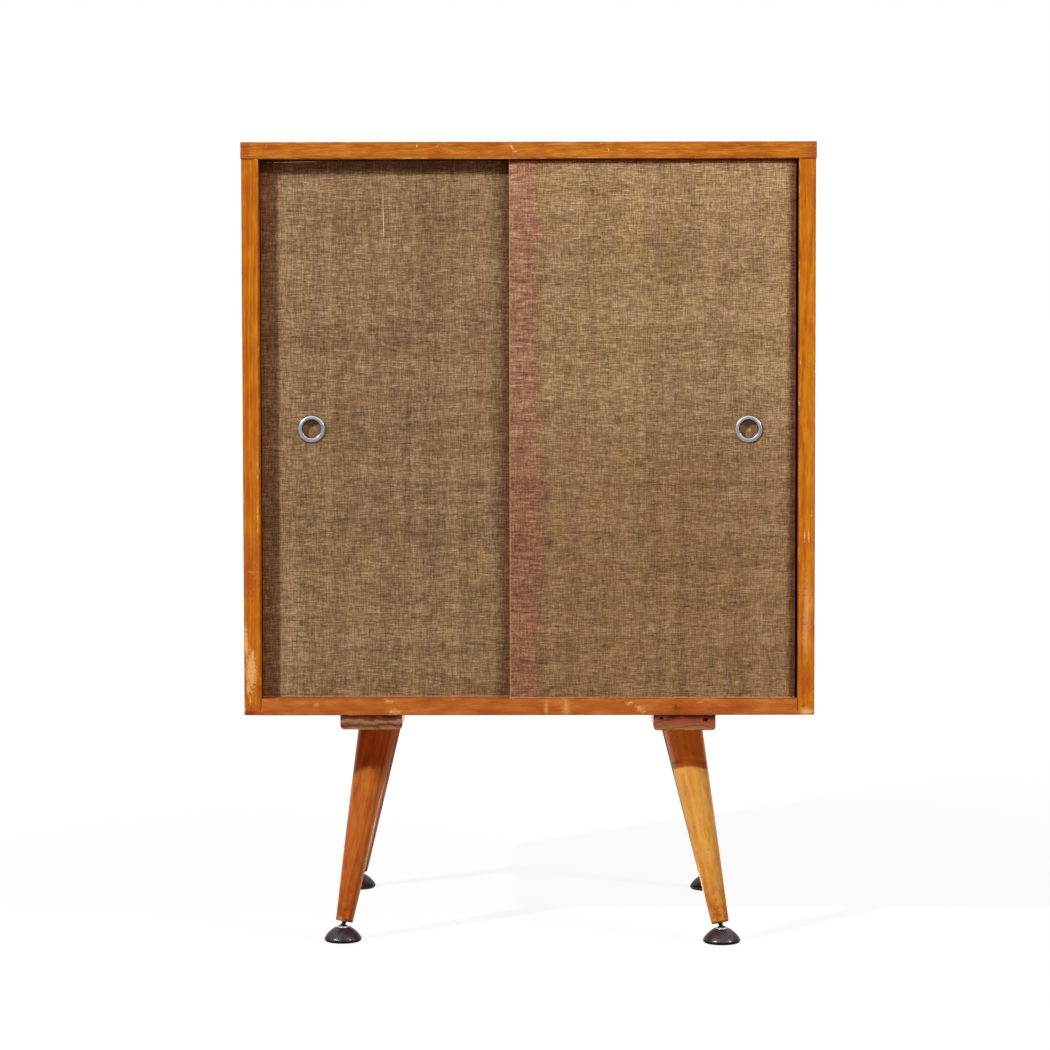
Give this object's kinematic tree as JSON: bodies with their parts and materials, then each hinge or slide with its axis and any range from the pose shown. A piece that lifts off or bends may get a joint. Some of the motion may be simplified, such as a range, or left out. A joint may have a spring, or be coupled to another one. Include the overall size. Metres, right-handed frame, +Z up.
{
  "type": "sliding door cabinet",
  "caption": "Low cabinet on splayed turned legs, with woven-faced sliding doors in routed grooves, ring finger pulls, an adjustable shelf and swivel glides.",
  "frame": {"origin": "on the floor under the middle of the case", "axes": "+X to the right as seen from the front, -Y to the front with the doors, +Z up"},
  "size_m": [0.61, 0.457, 0.864],
  "materials": {
    "maple": "satin amber lacquer over maple, worn along the edges",
    "maple_rail": "satin amber lacquer over maple, open end grain",
    "maple_leg": "satin amber lacquer over turned maple",
    "plywood": "thin clear coat over birch plywood",
    "dowel": "bare birch",
    "hardboard": "bare tan board",
    "weave": "woven grass cloth with uneven horizontal slubs",
    "satin_aluminium": "satin, slightly worn",
    "steel": "dull zinc",
    "nickel": "bright nickel",
    "brown_plastic": "dark brown moulded, half gloss"
  },
  "bodies": {
    "case": {"top_panel": "maple", "left_side": "maple", "right_side": "maple", "bottom_panel": "maple", "back_panel": "plywood", "back_screws": "steel", "top_dowels": "dowel", "bottom_dowels": "dowel", "shelf_pins": "steel", "left_leg_rail": "maple_rail", "right_leg_rail": "maple_rail", "left_rail_screws": "steel", "right_rail_screws": "steel", "front_left_leg": "maple_leg", "front_right_leg": "maple_leg", "rear_left_leg": "maple_leg", "rear_right_leg": "maple_leg", "front_left_glide_stud": "steel", "front_right_glide_stud": "steel", "rear_left_glide_stud": "steel", "rear_right_glide_stud": "steel"},
    "left_door": {"left_door_board": "hardboard", "left_door_facing": "weave", "left_pull_ring": "satin_aluminium"},
    "right_door": {"right_door_board": "hardboard", "right_door_facing": "weave", "right_pull_ring": "satin_aluminium"},
    "shelf": {"shelf": "plywood"},
    "front_left_glide": {"front_left_glide_cap": "nickel", "front_left_glide_base": "brown_plastic"},
    "front_right_glide": {"front_right_glide_cap": "nickel", "front_right_glide_base": "brown_plastic"},
    "rear_left_glide": {"rear_left_glide_cap": "nickel", "rear_left_glide_base": "brown_plastic"},
    "rear_right_glide": {"rear_right_glide_cap": "nickel", "rear_right_glide_base": "brown_plastic"}
  },
  "joints": [
    {"name": "left_door_slide", "type": "slide", "parent": "case", "child": "left_door", "axis": [1, 0, 0], "range_m": [0, 0.2669]},
    {"name": "right_door_slide", "type": "slide", "parent": "case", "child": "right_door", "axis": [1, 0, 0], "range_m": [-0.2651, 0.0022]},
    {"name": "shelf_lift", "type": "slide", "parent": "case", "child": "shelf", "axis": [0, 0, 1], "range_m": [0, 0.01]},
    {"name": "front_left_glide_tilt", "type": "hinge", "parent": "case", "child": "front_left_glide", "pos_m": [-0.20324, -0.16815, 0.014], "axis": [0.6998, -0.7144, 0], "range_deg": [-15, 10]},
    {"name": "front_right_glide_tilt", "type": "hinge", "parent": "case", "child": "front_right_glide", "pos_m": [0.20808, -0.17916, 0.014], "axis": [0.6677, 0.7444, 0], "range_deg": [-15, 10]},
    {"name": "rear_left_glide_tilt", "type": "hinge", "parent": "case", "child": "rear_left_glide", "pos_m": [-0.20324, 0.17916, 0.014], "axis": [-0.6998, -0.7144, 0], "range_deg": [-15, 10]},
    {"name": "rear_right_glide_tilt", "type": "hinge", "parent": "case", "child": "rear_right_glide", "pos_m": [0.20808, 0.16815, 0.014], "axis": [-0.6677, 0.7444, 0], "range_deg": [-15, 10]}
  ]
}
